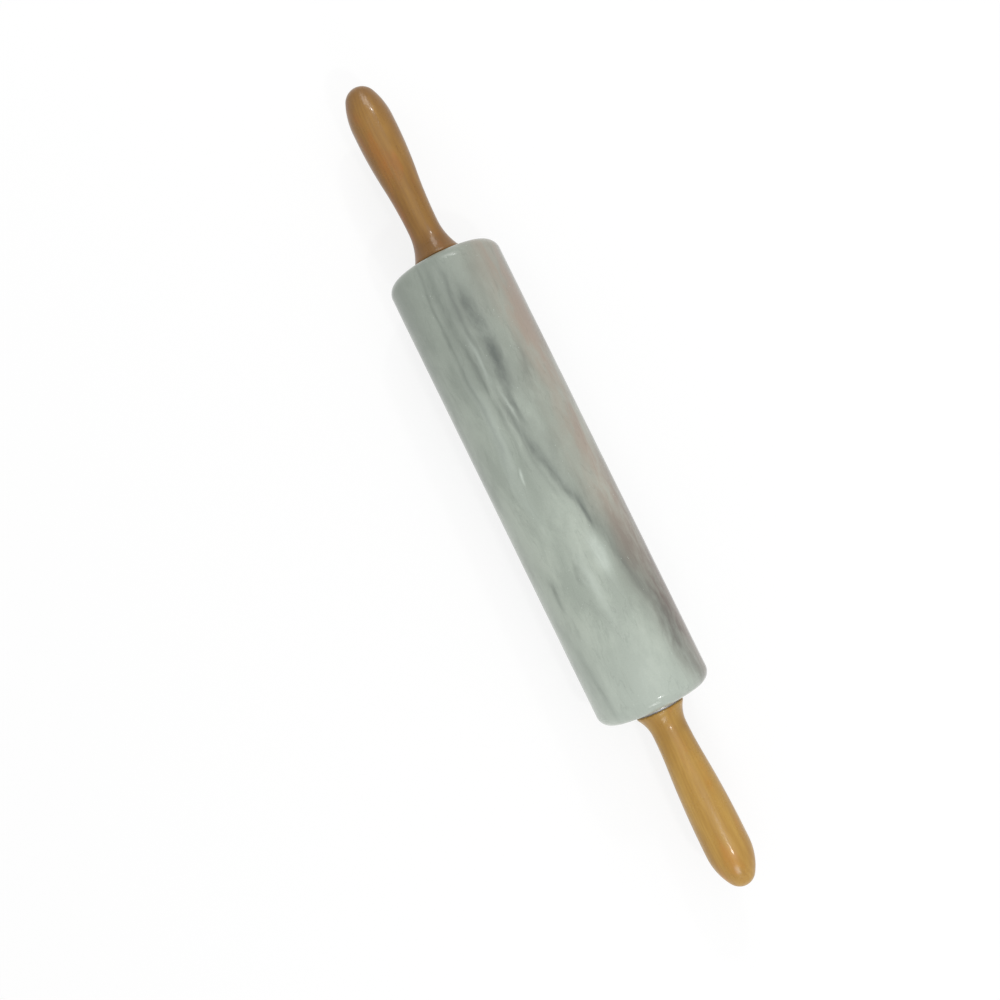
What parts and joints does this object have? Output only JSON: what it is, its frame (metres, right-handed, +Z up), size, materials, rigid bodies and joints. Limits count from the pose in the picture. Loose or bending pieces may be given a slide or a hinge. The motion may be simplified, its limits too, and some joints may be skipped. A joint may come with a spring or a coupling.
{
  "type": "rolling pin",
  "caption": "Rolling pin with a polished marble barrel that spins freely on a steel rod between two turned wooden handles.",
  "frame": {"origin": "middle of the marble barrel, on the spin axis", "axes": "+X along the spin axis towards the right handle, +Z up as the pin lies on a table"},
  "size_m": [0.4592, 0.062, 0.062],
  "materials": {
    "marble": "polished, cloudy grey-green with darker grey veins along the axis",
    "lacquered_wood": "amber wood with fine grain along the axis, satin-gloss lacquer",
    "nylon": "off-white moulded nylon, satin",
    "steel": "turned steel, zinc plated",
    "brass": "turned brass"
  },
  "bodies": {
    "handles": {"axle_rod": "steel", "left_washer": "steel", "right_washer": "steel", "left_insert": "brass", "right_insert": "brass", "left_handle": "lacquered_wood", "right_handle": "lacquered_wood"},
    "barrel": {"marble_barrel": "marble", "left_bush": "nylon", "right_bush": "nylon"}
  },
  "joints": [
    {"name": "barrel_spin", "type": "hinge", "parent": "handles", "child": "barrel", "pos_m": [0, 0, 0], "axis": [1, 0, 0], "continuous": true}
  ]
}
